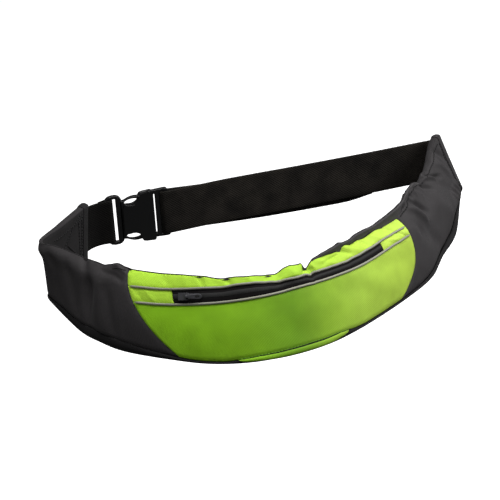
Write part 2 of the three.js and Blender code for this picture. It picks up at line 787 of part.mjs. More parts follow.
// The female part's slots and bars, from its outer bar inwards to its moulded body.
const inner_slot = first_bar - bar_reach - webbing_thickness / 2 - moving_clearance;
const inner_bar = inner_slot - bar_width;
const female_end = inner_bar - webbing_thickness - 2 * outer_slot_play;
const tongue_end = female_end - pocket_end_wall - moving_clearance;
const tongue_half = frame_half - tongue_inset;
const tongue_thickness = male_thickness - tongue_step;

function male_body() {
  const slot_end = slot_length - first_bar;
  const window_end = joint_offset - tongue_step;
  const window_length = (window_end - slot_end) * window_share;
  const window_up = frame_half - arm_width - window_height / 2;
  const shape = rounded(-half_length, joint_offset, frame_half, [corner_large, corner_small]);
  for (const side of [-1, 1]) {
    const window = new THREE.Path();
    window.absellipse(window_end - window_length / 2, side * window_up, window_length / 2,
      window_height / 2, 0, 2 * Math.PI, true);
    shape.holes.push(window);
  }
  const tongue = rounded(joint_offset - tongue_step, tongue_end, tongue_half,
    [corner_small / 3, corner_small]);
  let body = plate(shape, male_thickness).subtract(slot(-first_bar, slot_end))
    .add(plate(tongue, tongue_thickness, 2));
  for (const foot of [bar_thickness / 2, -bar_thickness / 2 - buckle_thickness]) {
    body = body.subtract(box(2 * (half_length - first_bar), 2 * slot_half, buckle_thickness,
      -half_length, 0, foot));
  }
  return body;
}

function female_body() {
  const start = joint_offset + seam_gap;
  const shell = plate(rounded(start, female_end, frame_half, [corner_small, corner_small]),
    buckle_thickness);
  const pocket = rounded(start - joint_offset, tongue_end + moving_clearance,
    tongue_half + moving_clearance, [corner_small / 3, corner_small]);
  const frame = rounded(female_end - tongue_step, half_length, frame_half - frame_step,
    [corner_small / 3, corner_medium]);
  const bars = plate(frame, bar_thickness).subtract(slot(female_end, inner_bar))
    .subtract(slot(inner_slot, first_bar));
  return shell.subtract(plate(pocket, tongue_thickness + 2 * moving_clearance, 2)).add(bars);
}

add('buckle_male', geometry_of(male_body()), 'plastic', upright);
add('buckle_female', geometry_of(female_body()), 'plastic', upright);

export default part;
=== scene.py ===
import math

import bmesh
import bpy
import numpy as np
from mathutils import Matrix, Vector


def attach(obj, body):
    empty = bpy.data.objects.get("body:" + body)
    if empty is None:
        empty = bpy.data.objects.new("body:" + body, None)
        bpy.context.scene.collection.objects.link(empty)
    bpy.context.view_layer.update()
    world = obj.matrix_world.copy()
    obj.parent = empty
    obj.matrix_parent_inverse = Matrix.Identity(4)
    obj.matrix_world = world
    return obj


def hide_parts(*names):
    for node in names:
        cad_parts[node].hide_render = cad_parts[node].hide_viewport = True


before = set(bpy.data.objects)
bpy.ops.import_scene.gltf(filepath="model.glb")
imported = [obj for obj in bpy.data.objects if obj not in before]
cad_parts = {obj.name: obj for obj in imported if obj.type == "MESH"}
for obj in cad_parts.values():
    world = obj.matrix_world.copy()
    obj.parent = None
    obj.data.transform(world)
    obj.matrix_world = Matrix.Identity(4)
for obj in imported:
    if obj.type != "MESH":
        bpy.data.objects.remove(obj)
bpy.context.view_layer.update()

mm = 0.001

# Driving sizes, in metres, the same as the frame's: X to the wearer's left, Y to the buckle.
loop_width = 360 * mm
loop_depth = 180 * mm
pack_height = 58 * mm
pack_lean = 25 * mm
gusset_depth = 24 * mm
cloth = 1.2 * mm
binding_width = 5.5 * mm
end_height = 46 * mm
webbing_width = 38 * mm
webbing_thickness = 1.6 * mm

# Sections round the pack, from the buckle end of the left wing to the end of the right wing.
# across and back are shares of the loop, facing is in degrees, top, drop and sag are shares of
# the pack's height, lean of its lean and gusset of its depth. end is 1 where the height is the
# webbing's, crown rounds the face, and upper and lower are the pipings' places down it.
station_columns = ("across", "back", "facing", "top", "drop", "lean", "gusset", "sag",
                   "end", "crown", "upper", "lower")
stations = np.array([
    (-0.371, 0.432, 138, 0.34, 0.76, 0.00, 0.22, 0.04, 1.0, 0.50, 0.40, 0.60),
    (-0.438, 0.284, 148, 0.34, 0.78, 0.00, 0.30, 0.05, 0.6, 0.60, 0.40, 0.60),
    (-0.487, 0.167, 180, 0.34, 0.79, -0.10, 0.25, 0.05, 0.2, 0.75, 0.40, 0.60),
    (-0.453, 0.089, 206, 0.33, 0.81, 0.33, 0.50, 0.06, 0.0, 0.85, 0.38, 0.58),
    (-0.400, -0.044, 213, 0.28, 0.86, 0.70, 0.67, 0.11, 0.0, 0.75, 0.36, 0.56),
    (-0.367, -0.156, 217, 0.31, 0.86, 0.86, 0.75, 0.12, 0.0, 0.75, 0.34, 0.54),
    (-0.328, -0.250, 228, 0.325, 0.89, 0.94, 0.83, 0.12, 0.0, 0.75, 0.295, 0.49),
    (-0.256, -0.350, 236, 0.315, 0.94, 1.00, 0.92, 0.08, 0.0, 0.60, 0.24, 0.43),
    (-0.183, -0.444, 245, 0.32, 0.97, 1.00, 1.00, 0.06, 0.0, 0.50, 0.16, 0.355),
    (-0.106, -0.500, 264, 0.335, 0.98, 0.96, 1.00, 0.05, 0.0, 0.40, 0.10, 0.30),
    (-0.014, -0.478, 282, 0.33, 0.99, 1.00, 1.00, 0.05, 0.0, 0.40, 0.16, 0.295),
    (0.050, -0.428, 292, 0.32, 1.00, 1.04, 1.00, 0.05, 0.0, 0.40, 0.19, 0.325),
    (0.136, -0.339, 301, 0.315, 0.98, 1.04, 1.00, 0.06, 0.0, 0.50, 0.235, 0.385),
    (0.233, -0.211, 307, 0.305, 0.97, 1.04, 0.92, 0.06, 0.0, 0.50, 0.225, 0.385),
    (0.300, -0.106, 315, 0.32, 0.96, 1.04, 0.83, 0.08, 0.0, 0.50, 0.27, 0.42),
    (0.350, 0.039, 321, 0.33, 0.94, 1.06, 0.75, 0.09, 0.0, 0.50, 0.32, 0.48),
    (0.411, 0.189, 327, 0.34, 0.92, 1.06, 0.58, 0.08, 0.2, 0.40, 0.36, 0.54),
    (0.478, 0.400, 331, 0.39, 0.84, 0.88, 0.40, 0.05, 0.7, 0.00, 0.40, 0.60),
    (0.508, 0.476, 331, 0.43, 0.79, 0.74, 0.22, 0.04, 1.0, 0.05, 0.40, 0.60),
])

# Broad dents and ridges: at and half are shares of the way round, depth and lower shares of
# the height, and from_v and to_v the stretch of the face.
folds = np.array([
    (0.224, 0.026, 0.055, 0.000, 0.20, 0.95),
    (0.254, 0.016, -0.020, -0.045, 0.00, 0.45),
    (0.412, 0.018, 0.010, 0.030, 0.00, 0.20),
    (0.515, 0.022, -0.030, -0.035, 0.00, 0.24),
    (0.549, 0.012, 0.040, 0.080, 0.00, 0.26),
    (0.618, 0.020, -0.020, -0.030, 0.00, 0.28),
    (0.764, 0.016, -0.035, 0.000, 0.00, 0.60),
    (0.849, 0.018, 0.045, 0.025, 0.00, 0.55),
])

# How far the edges sink below the top seam's line: share of the way round, then the front edge
# and the back edge, in mm.
edge_dips = np.array([
    (0.000, 0.0, 0.0), (0.225, 0.0, 0.0), (0.252, 1.2, 1.2), (0.270, -4.0, -4.0),
    (0.282, -2.4, -2.4), (0.293, -1.2, -1.5), (0.330, -1.0, -1.4), (0.370, -1.8, -2.1),
    (0.392, -2.0, -2.4), (0.410, -2.4, -2.8), (0.425, -0.8, -1.2), (0.440, -1.4, -1.8),
    (0.462, -0.8, -1.2), (0.482, 0.8, 0.5), (0.497, 2.0, 1.7), (0.510, 0.6, 0.3),
    (0.522, 0.0, -0.3), (0.537, -0.6, -0.9), (0.545, 1.2, 1.0), (0.552, -1.6, -1.8),
    (0.560, 0.0, -1.2), (0.580, 1.2, -2.6), (0.598, 2.4, -3.0), (0.610, 4.0, -2.6),
    (0.621, 2.4, -1.0), (0.634, 3.2, -2.0), (0.648, 2.6, -3.4), (0.665, 4.0, -3.2),
    (0.690, 3.2, -2.2), (0.712, 5.0, -2.6), (0.742, 5.8, -3.4), (0.765, 2.5, -4.0),
    (0.785, -1.0, -5.5), (0.800, -3.5, -5.5), (0.825, -2.5, -3.5), (0.846, -1.2, -1.6),
    (0.862, 3.6, 3.2), (0.882, 2.0, 1.6), (0.905, 5.2, 5.2), (0.930, 5.4, 5.4),
    (0.955, 2.0, 2.0), (0.980, -2.0, -2.0), (1.000, -1.6, -1.4),
])

# How far the bottom seam is drawn in and up on the face: share of the way round, then both in mm.
# The gusset fills out below it.
rim_shifts = np.array([
    (0.000, 0.0, 0.0), (0.120, 0.0, 0.5), (0.165, 0.0, 2.5), (0.220, 0.0, 4.0),
    (0.280, 0.0, 3.4), (0.340, 0.0, 1.6), (0.380, 0.0, 0.3), (0.425, 0.0, 0.3),
    (0.460, 0.0, 3.2), (0.520, 0.0, 4.2), (0.565, 0.0, 4.6), (0.592, 0.0, 1.5),
    (0.610, 0.0, 0.3), (0.700, 0.2, 0.2), (0.770, 1.2, 0.6), (0.820, 1.0, 0.6),
    (0.862, 3.0, 0.8), (0.905, 3.0, 0.4), (0.930, 1.6, 0.3), (0.950, 0.0, 0.0),
    (0.970, -1.0, 0.0), (1.000, -0.5, 0.0),
])
# The face follows the bottom seam from this share of its height down.
rim_from = 0.7

# Fine folds of the face, from one point to another, as share round and share down of each, then
# width and height in mm: a ridge, or a valley where the height is negative.
creases = np.array([
    (0.115, 0.24, 0.262, 0.30, 9.0, 2.6), (0.200, 0.00, 0.214, 0.26, 3.2, -1.6),
    (0.218, 0.26, 0.236, 0.95, 5.0, -2.4), (0.208, 0.35, 0.220, 0.90, 4.0, 1.4),
    (0.244, 0.30, 0.262, 0.98, 5.0, 1.6), (0.262, 0.40, 0.280, 0.95, 3.5, -1.4),
    (0.175, 0.26, 0.204, 0.85, 5.0, -1.8), (0.140, 0.25, 0.170, 0.95, 6.0, -1.4),
    (0.120, 0.20, 0.150, 0.60, 5.0, 1.6), (0.095, 0.10, 0.105, 0.70, 4.0, -1.0),
    (0.262, 0.02, 0.288, 0.12, 2.2, 1.2), (0.245, 0.14, 0.283, 0.24, 2.5, -1.4),
    (0.300, 0.28, 0.318, 0.46, 1.8, -0.4), (0.314, 0.28, 0.334, 0.44, 1.8, 0.4),
    (0.335, 0.03, 0.350, 0.20, 3.0, -0.3), (0.388, 0.00, 0.398, 0.16, 2.4, -0.6),
    (0.366, 0.02, 0.374, 0.18, 3.0, 0.3), (0.425, 0.00, 0.432, 0.09, 2.0, -0.9),
    (0.455, 0.00, 0.462, 0.08, 2.5, 0.7), (0.488, 0.00, 0.480, 0.10, 2.5, -0.8),
    (0.512, 0.00, 0.528, 0.14, 4.0, 1.5), (0.544, 0.00, 0.536, 0.17, 1.7, -3.4),
    (0.552, 0.00, 0.556, 0.15, 1.8, 1.2), (0.564, 0.05, 0.590, 0.15, 2.6, 1.2),
    (0.572, 0.11, 0.606, 0.06, 1.8, -1.6), (0.610, 0.00, 0.622, 0.16, 2.0, -2.2),
    (0.624, 0.04, 0.642, 0.18, 3.0, 1.4), (0.655, 0.02, 0.660, 0.18, 2.2, -1.2),
    (0.676, 0.02, 0.688, 0.18, 3.0, 1.0), (0.708, 0.02, 0.720, 0.20, 2.2, -1.0),
    (0.700, 0.27, 0.722, 0.38, 1.8, 1.0), (0.726, 0.27, 0.738, 0.42, 1.5, -0.9),
    (0.560, 0.40, 0.630, 0.70, 7.0, -0.8), (0.620, 0.50, 0.690, 0.90, 7.0, 0.8),
    (0.640, 0.45, 0.720, 0.62, 5.0, -0.5), (0.470, 0.55, 0.540, 0.95, 9.0, -0.8),
    (0.430, 0.35, 0.520, 0.50, 9.0, -0.8), (0.380, 0.55, 0.400, 0.95, 8.0, 0.8),
    (0.768, 0.02, 0.806, 0.50, 3.4, 3.6), (0.784, 0.00, 0.822, 0.45, 2.6, -3.4),
    (0.760, 0.20, 0.780, 0.60, 4.0, -1.7), (0.798, 0.00, 0.806, 0.14, 1.8, -2.2),
    (0.812, 0.00, 0.820, 0.16, 2.2, 1.7), (0.828, 0.00, 0.836, 0.16, 2.2, -2.0),
    (0.850, 0.00, 0.872, 0.32, 3.0, -3.4), (0.866, 0.00, 0.905, 0.25, 2.6, 3.4),
    (0.880, 0.02, 0.930, 0.38, 2.6, -3.4), (0.900, 0.30, 0.960, 0.85, 6.0, -2.0),
    (0.850, 0.40, 0.905, 0.85, 7.0, 1.7), (0.935, 0.05, 0.975, 0.60, 4.0, 2.2),
    (0.958, 0.00, 0.985, 0.35, 2.6, -1.6), (0.790, 0.55, 0.830, 0.95, 6.0, -1.7),
    (0.948, 0.76, 0.958, 1.00, 1.3, 1.6), (0.960, 0.74, 0.970, 1.00, 1.3, 1.8),
    (0.972, 0.74, 0.982, 1.00, 1.3, 1.8), (0.984, 0.78, 0.992, 1.00, 1.3, 1.4),
])
# An edge's dip fades out over this share of the face, and a broad fold's over less.
edge_reach = 0.35
fold_reach = 0.3
# The left wing's end lies a little further in and back, over this share of the way round.
end_shift = (4.0 * mm, 4.6 * mm)
end_reach = 0.07
# The top edge's rounded crest, and its depth where the cloth is pinched together.
crest = 0.7 * mm
pinched = 1.3 * mm
# A panel sinks into its seams by this depth, over this width.
tuck_depth = 0.7 * mm
tuck_width = 1.7 * mm

# The seams between columns of the pack: their place at the top seam, at the bottom seam, and
# how late they sweep over between the two.
seams = {
    "left_end": (0.000, 0.014, 1.0), "left_corner": (0.210, 0.210, 1.0),
    "green_left": (0.288, 0.367, 2.3), "zip_left": (0.351, 0.403, 2.2),
    "lip_left": (0.425, 0.437, 2.5), "lip_right": (0.598, 0.578, 3.5),
    "zip_right": (0.684, 0.651, 4.0), "green_right": (0.746, 0.688, 5.0),
    "right_hip": (0.816, 0.816, 1.0), "right_end": (1.000, 1.000, 1.0),
}
seam_table = np.array(list(seams.values()))


# The pack's surface

def through(rows, t):
    """A smooth curve through a table's rows."""
    last = len(rows) - 1
    i = np.clip(np.floor(t).astype(int), 0, last - 1)
    f = (t - i)[:, None]
    b, c = rows[i], rows[i + 1]
    a = np.where((i > 0)[:, None], rows[np.maximum(i - 1, 0)], 2 * b - c)
    d = np.where((i + 2 <= last)[:, None], rows[np.minimum(i + 2, last)], 2 * c - b)
    return 0.5 * (2 * b + (c - a) * f + (2 * a - 5 * b + 4 * c - d) * f ** 2
                  + (3 * b - a - 3 * c + d) * f ** 3)


plan_t = np.linspace(0, len(stations) - 1, 40 * (len(stations) - 1) + 1)
plan = through(stations, plan_t)[:, :2] * (loop_width, loop_depth)
plan_way = np.concatenate([[0], np.cumsum(np.linalg.norm(np.diff(plan, axis=0), axis=1))])
pack_length = plan_way[-1]


def section_at(share):
    """The pack's section at a share of the way round, in metres."""
    way = np.clip(share, 0, 1) * pack_length
    rows = through(stations, np.interp(way, plan_way, plan_t))
    here = dict(zip(station_columns, rows.T))
    e = here["end"]
    heading = np.radians(here["facing"])
    settled = np.clip(1 - share / end_reach, 0, 1) ** 2
    here.update(
        share=share, x=here["across"] * loop_width + end_shift[0] * settled,
        y=here["back"] * loop_depth + end_shift[1] * settled,
        out=np.stack([np.cos(heading), np.sin(heading), 0 * heading], 1),
        top=here["top"] * pack_height * (1 - e / 2) + end_height / 4 * e,
        drop=here["drop"] * pack_height * (1 - e) + end_height * e,
        lean=here["lean"] * pack_lean,
        gusset=here["gusset"] * gusset_depth * (1 - e) + binding_width * e,
        sag=here["sag"] * pack_height)
    return here


def hump(value, middle, half):
    """A smooth rise to 1 at middle, and 0 from half away."""
    far = np.minimum(np.abs(value - middle) / half, 1)
    return 0.5 + 0.5 * np.cos(math.pi * far)


def edge_dip(share, column):
    """How far an edge of the top seam sinks, on a soft curve through the table's rows."""
    at = np.interp(share, edge_dips[:, 0], np.arange(len(edge_dips)))
    low = np.clip(np.floor(at).astype(int), 0, len(edge_dips) - 2)
    f = at - low
    f = f * f * (3 - 2 * f)
    return lerp(edge_dips[low, column], edge_dips[low + 1, column], f) * mm


def rim_shift(share, column):
    """How far the bottom seam is drawn in, or up."""
    return np.interp(share, rim_shifts[:, 0], rim_shifts[:, column]) * mm


def crease_lift(share, v):
    """How far the fine folds lift a point of the face."""
    spot = np.stack([share * pack_length, v * pack_height], 1)
    total = 0 * share
    for from_share, from_v, to_share, to_v, width, height in creases:
        start = np.array([from_share * pack_length, from_v * pack_height])
        run = np.array([to_share * pack_length, to_v * pack_height]) - start
        f = np.clip((spot - start) @ run / (run @ run), 0, 1)
        far = np.linalg.norm(spot - start - f[:, None] * run, axis=1)
        fade = 1 - 0.6 * np.abs(2 * f - 1) ** 3
        total = total + height * mm * fade * np.exp(-(far / (width * mm)) ** 2)
    return total


def face_profile(section, v):
    """The face's place out from the top seam and up, with its fine folds, rim and dips."""
    out, up = bare_face(section, v)
    step = 1e-3
    after, before = bare_face(section, v + step), bare_face(section, v - step)
    slope = np.stack([before[1] - after[1], after[0] - before[0]])
    slope = slope / np.maximum(np.linalg.norm(slope, axis=0), 1e-12)
    lift = crease_lift(section["share"], v)
    rim = np.clip((v - rim_from) / (1 - rim_from), 0, 1) ** 2
    out = out - rim_shift(section["share"], 1) * rim
    up = up + rim_shift(section["share"], 2) * rim
    dip = edge_dip(section["share"], 1) * np.maximum(0, 1 - np.maximum(v, 0) / edge_reach)
    return out + lift * slope[0], up + lift * slope[1] - dip


def bare_face(section, v):
    """The face before its fine folds, v of the way down."""
    turn = v * math.pi / 2
    crown = section["crown"]
    out = section["lean"] * (crown * np.sin(turn) + (1 - crown) * v)
    up = -section["drop"] * (crown * (1 - np.cos(turn)) + (1 - crown) * v)
    for at, half, depth, lower, from_v, to_v in folds:
        near = hump(section["share"], at, half)
        out = out - depth * pack_height * near * hump(v, (from_v + to_v) / 2, (to_v - from_v) / 2)
        up = up - lower * pack_height * near * np.maximum(0, 1 - v / fold_reach)
    return out, up


def gusset_profile(section, v):
    """The bottom's place, from the face's lower edge back to the back panel's."""
    lean, drop, gusset, sag = (section[k] for k in ("lean", "drop", "gusset", "sag"))
    bulge = np.minimum(gusset, gusset_depth / 2) * 0.28
    inward, raised = (rim_shift(section["share"], k) for k in (1, 2))
    ends = ((lean - inward, raised - drop),
            (lean + bulge + 0.9 * inward, -drop - sag * 0.6 - 0.7 * raised),
            (lean - gusset * 0.25, -drop - sag * 1.8), (lean - gusset, -drop - sag * 0.7))
    s = 1 - v
    weights = (s ** 3, 3 * s * s * v, 3 * s * v * v, v ** 3)
    return tuple(sum(w * end[k] for w, end in zip(weights, ends)) for k in (0, 1))


def lerp(a, b, f):
    return a + (b - a) * f


def back_profile(section, v):
    """The back's place, from its lower edge up to the top binding."""
    low_out, low_up = gusset_profile(section, 1 + 0 * v)
    top_out = -lerp(pinched, binding_width, section["end"])
    top_up = bare_face(section, 0 * v)[1] - cloth * 0.6
    bow = 0.08 * np.maximum(section["gusset"] - binding_width, 0) * np.sin(math.pi * v)
    face_out, face_up = bare_face(section, 1 - v)
    level = face_up + (low_up + section["drop"]) * (1 - v) - cloth * 0.6 * v
    dip = edge_dip(section["share"], 2) * np.clip(v, 0, 1) ** 2
    return (lerp(lerp(low_out, top_out, v) - bow, face_out - binding_width, section["end"]),
            lerp(lerp(low_up, top_up, v), level, section["end"]) - dip)


def binding_profile(section, v):
    """The rounded top edge, from the back over to the face."""
    from_out, from_up = back_profile(section, 1 + 0 * v)
    to_out, to_up = face_profile(section, 0 * v)
    return lerp(from_out, to_out, v), lerp(from_up, to_up, v) + crest * np.sin(math.pi * v)


def swept(at, v):
    """Where a seam that starts at at has got to, v of the way down the face."""
    low = np.interp(at, seam_table[:, 0], seam_table[:, 1])
    bend = np.interp(at, seam_table[:, 0], seam_table[:, 2])
    return lerp(at, low, np.maximum(v, 0) ** bend)


def on_pack(band, at, share):
    """A point of the bare skin. band is face, strip, zip, front, gusset, back or binding."""
    guide = section_at(swept(at, 0.35 + 0 * at))
    spans = {"face": (0, 1), "strip": (0, guide["upper"]),
             "zip": (guide["upper"], guide["lower"]), "front": (guide["lower"], 1)}
    if band in spans:
        v = lerp(*spans[band], share)
        section = section_at(swept(at, v))
        out, up = face_profile(section, v)
    elif band == "gusset":
        section = section_at(swept(at, 1 + 0 * share))
        out, up = gusset_profile(section, share)
    elif band == "back":
        section = section_at(swept(at, 1 - share))
        out, up = back_profile(section, share)
    else:
        section = section_at(at)
        out, up = binding_profile(section, share)
    place = np.stack([section["x"], section["y"], section["top"] + up], 1)
    return place + section["out"] * out[:, None]


def outward(band, at, share):
    """The skin's outward direction, square to it."""
    step = 1e-3
    down = on_pack(band, at, share + step) - on_pack(band, at, share - step)
    along = on_pack(band, at + step, share) - on_pack(band, at - step, share)
    normal = np.cross(down, along)
    return normal / np.maximum(np.linalg.norm(normal, axis=1), 1e-12)[:, None]


# Making objects

def linked(name, mesh):
    piece = bpy.data.objects.new(name, mesh)
    bpy.context.scene.collection.objects.link(piece)
    return piece


def shade(mesh):
    mesh.polygons.foreach_set("use_smooth", [True] * len(mesh.polygons))


def welded(mesh, near):
    """Merges the mesh's doubled points and turns its faces outwards."""
    bm = bmesh.new()
    bm.from_mesh(mesh)
    bmesh.ops.remove_doubles(bm, verts=bm.verts, dist=near)
    bmesh.ops.recalc_face_normals(bm, faces=bm.faces)
    bm.to_mesh(mesh)
    bm.free()


def laid_grid(name, across, down, point, normal=None):
    """A grid of cells laid by point(u, v), with a UV map that runs from 0 to its real size."""
    bm = bmesh.new()
    bmesh.ops.create_grid(bm, x_segments=across, y_segments=down, size=1)
    mesh = bpy.data.meshes.new(name)
    bm.to_mesh(mesh)
    bm.free()
    flat = np.empty(len(mesh.vertices) * 3)
    mesh.vertices.foreach_get("co", flat)
    u, v = (flat.reshape(-1, 3)[:, :2].T + 1) / 2
    points = point(u, v)
    mesh.vertices.foreach_set("co", points.ravel())
    step = 1e-3
    width = np.linalg.norm(point(u + step, v) - point(u - step, v), axis=1) / (2 * step)
    height = np.linalg.norm(point(u, v + step) - point(u, v - step), axis=1) / (2 * step)
    corner = np.empty(len(mesh.loops), int)
    mesh.loops.foreach_get("vertex_index", corner)
    sizes = np.stack([u * np.mean(width), v * np.mean(height)], 1)
    mesh.uv_layers.new(name="cloth").data.foreach_set("uv", sizes[corner].ravel())
    if normal is not None:
        mesh.update()
        middle = np.empty(len(mesh.polygons) * 3)
        mesh.polygons.foreach_get("normal", middle)
        corners = np.empty(len(mesh.polygons) * 4, int)
        mesh.polygons.foreach_get("vertices", corners)
        outside = normal(u, v)[corners.reshape(-1, 4)[:, 0]]
        if np.sum(middle.reshape(-1, 3) * outside) < 0:
            mesh.flip_normals()
    shade(mesh)
    return linked(name, mesh)


def thicken(piece, thickness):
    wall = piece.modifiers.new("thickness", "SOLIDIFY")
    wall.thickness = thickness
    wall.offset = -1


def finish_piece(piece, material, node, body="pack"):
    piece.data.materials.append(material)
    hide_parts(node)
    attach(piece, body)


# Materials

def paint(hex_value):
    """An sRGB hex colour as the linear colour a shader takes."""
    channels = [int(hex_value[k:k + 2], 16) / 255 for k in (0, 2, 4)]
    linear = [c / 12.92 if c <= 0.04045 else ((c + 0.055) / 1.055) ** 2.4 for c in channels]
    return (*linear, 1)


def add_node(tree, kind, inputs=None, **settings):
    made = tree.nodes.new("ShaderNode" + kind)
    for name, value in settings.items():
        setattr(made, name, value)
    for socket, value in (inputs or {}).items():
        if isinstance(value, bpy.types.NodeSocket):
            tree.links.new(value, made.inputs[socket])
        else:
            made.inputs[socket].default_value = value
    return made


def new_material(name):
    material = bpy.data.materials.new(name)
    material.use_nodes = True
    material.node_tree.nodes.clear()
    return material, material.node_tree


def woven(name, colour, dark, thread_x, thread_y, roughness, bump, gloss=0.15,
          sheen=0.03, painted_light_tones=None):
    """Cloth woven of threads, which show as a small check of light and dark crowns.

    tones are places along X, in metres, each with the tone that the colour takes there. They are
    painted light and shade: the colour is made lighter or darker along X where light or shade
    falls on the piece.
    """
    material, tree = new_material(name)
    uv = add_node(tree, "UVMap", uv_map="cloth").outputs["UV"]
    parts = add_node(tree, "SeparateXYZ", {0: uv})
    waves = []
    for axis, spacing in (("X", thread_x), ("Y", thread_y)):
        turns = add_node(tree, "Math", {0: parts.outputs[axis], 1: 2 * math.pi / spacing},
                         operation="MULTIPLY")
        waves.append(add_node(tree, "Math", {0: turns.outputs[0]}, operation="SINE"))
    check = add_node(tree, "Math", {0: waves[0].outputs[0], 1: waves[1].outputs[0]},
                     operation="MULTIPLY")
    spot = add_node(tree, "TexCoord")
    cloud = add_node(tree, "TexNoise", {"Vector": spot.outputs["Object"], "Scale": 60,
                                        "Detail": 4})
    height = add_node(tree, "MapRange", {0: check.outputs[0], 1: -1, 2: 1})
    grain = add_node(tree, "Math", {0: height.outputs[0], 1: 0.35, 2: cloud.outputs["Fac"]},
                     operation="MULTIPLY_ADD")
    tint = add_node(tree, "MapRange", {0: grain.outputs[0], 1: 0.3, 2: 1.0})
    mix = add_node(tree, "Mix", {"Factor": tint.outputs[0], 6: paint(dark), 7: paint(colour)},
                   data_type="RGBA")
    # The tones multiply the colour along X: painted light and shade.
    if painted_light_tones:
        across = add_node(tree, "SeparateXYZ", {0: spot.outputs["Object"]})
        first, last = painted_light_tones[0][0], painted_light_tones[-1][0]
        turn = add_node(tree, "MapRange", {0: across.outputs["X"], 1: first, 2: last})
        ramp = add_node(tree, "ValToRGB", {"Fac": turn.outputs[0]})
        stops = ramp.color_ramp.elements
        stops[0].color = paint(painted_light_tones[0][1])
        stops[1].color = paint(painted_light_tones[-1][1])
        for x, tone in painted_light_tones[1:-1]:
            stops.new((x - first) / (last - first)).color = paint(tone)
        mix = add_node(tree, "Mix", {"Factor": 1.0, 6: mix.outputs[2], 7: ramp.outputs[0]},
                       data_type="RGBA", blend_type="MULTIPLY")
    relief = add_node(tree, "Bump", {"Height": height.outputs[0], "Strength": bump,
                                     "Distance": 0.3 * mm})
    shader = add_node(tree, "BsdfPrincipled", {
        "Base Color": mix.outputs[2], "Roughness": roughness, "Normal": relief.outputs[0],
        "Specular IOR Level": gloss, "Sheen Weight": sheen, "Sheen Roughness": 0.5})
    add_node(tree, "OutputMaterial", {"Surface": shader.outputs[0]})
    return material


def plain(name, colour, roughness, metallic=0.0, grain=0.1, scale=900):
    """Moulded or painted surface with a fine grain."""
    material, tree = new_material(name)
    spot = add_node(tree, "TexCoord")
    cloud = add_node(tree, "TexNoise", {"Vector": spot.outputs["Object"], "Scale": scale})
    relief = add_node(tree, "Bump", {"Height": cloud.outputs["Fac"], "Strength": grain,
                                     "Distance": 0.1 * mm})
    worn = add_node(tree, "MapRange", {0: cloud.outputs["Fac"], 3: roughness - 0.06,
                                       4: roughness + 0.06})
    shader = add_node(tree, "BsdfPrincipled", {
        "Base Color": paint(colour), "Roughness": worn.outputs[0], "Metallic": metallic,
        "Normal": relief.outputs[0]})
    add_node(tree, "OutputMaterial", {"Surface": shader.outputs[0]})
    return material


# Lime polyester: bright and matt, with a check of threads. The real ones are too fine to show, so
# they are drawn coarser, at 1.4 mm. The tones stand for the broad fall of light over the pouch.
green_weave = ("ffffff", "dcdcdc", 1.4 * mm, 1.4 * mm, 0.6, 0.5)
green_front = woven("lime_polyester_front", *green_weave,
                    painted_light_tones=((-0.09, "98d622"), (-0.045, "84b822"), (-0.01, "6e9c20"),
                           (0.02, "8cb430"), (0.05, "a8cc46"), (0.12, "b0cc48")))
green_cloth = woven("lime_polyester_strip", *green_weave,
                    painted_light_tones=((-0.09, "b8e840"), (0.0, "b2e042"), (0.06, "bcde4c"),
                           (0.12, "c0e058")))
# Lime thread: matt, a little darker than the cloth.
green_thread = plain("lime_thread", "5c8a1c", 0.8)
# Charcoal nylon taffeta: matt, with a soft sheen in its folds. Its threads are too fine to show,
# so they are drawn coarser.
taffeta_threads = (1.2 * mm, 1.2 * mm)
charcoal_cloth = woven("charcoal_nylon_taffeta", "373536", "2c2a2b", *taffeta_threads, 0.7, 0.3)
# The lining's tones darken it towards the left: painted shade inside the left wing.
back_cloth = woven("charcoal_nylon_lining", "474546", "383637", *taffeta_threads, 0.75, 0.3,
                   painted_light_tones=((-0.13, "8c8c8c"), (-0.06, "b4b4b4"), (0.03, "ffffff")))
binding_cloth = woven("charcoal_edge_tape", "302e2f", "252324", *taffeta_threads, 0.75, 0.3)
gusset_cloth = woven("black_nylon_taffeta", "1a191a", "121112", *taffeta_threads, 0.75, 0.3)
# Polyamide webbing: near black, with the ribs of a heavy weave, drawn a little coarser than the
# real ones so that they show.
# Its tones darken it towards the left, round the buckle and on the short strap: painted shade.
webbing_cloth = woven("black_polyamide_webbing", "34302b", "030303", 2.6 * mm, 2.2 * mm, 0.75,
                      1.0, gloss=0.1,
                      painted_light_tones=((-0.135, "505050"), (-0.09, "707070"), (-0.03, "e8e8e8"),
                             (0.13, "d8d8d8")))
# Zip tape, coil and thread: black and quite matt.
tape_cloth = woven("black_zip_tape", "151213", "100e0f", 1.0 * mm, 1.0 * mm, 0.8, 0.4, gloss=0.08)
coil_nylon = plain("black_nylon_coil", "100f0f", 0.8)
thread = plain("black_thread", "0a090a", 0.85)
# Silver piping: grey, slightly glossy, from its glass beads.
piping_cloth = plain("silver_reflective_piping", "8a8a7c", 0.55, 0.1, 0.15)
# Moulded acetal: black and smooth, with soft broad highlights.
acetal = plain("black_moulded_acetal", "060607", 0.42)
# Painted zinc alloy: dark grey with a dull metal gleam.
zinc = plain("painted_zinc_alloy", "38383b", 0.4, 0.4, 0.05)


# The pack's cloth

# Bands that end at the top edge sink by this share there, not by all of the tuck.
top_tuck = {"face": 0.2, "strip": 0.2}
# The bands' usual heights, in mm.
band_heights = {"face": 60, "strip": 15, "zip": 10, "front": 40, "gusset": 24, "back": 60,
                "binding": 3}


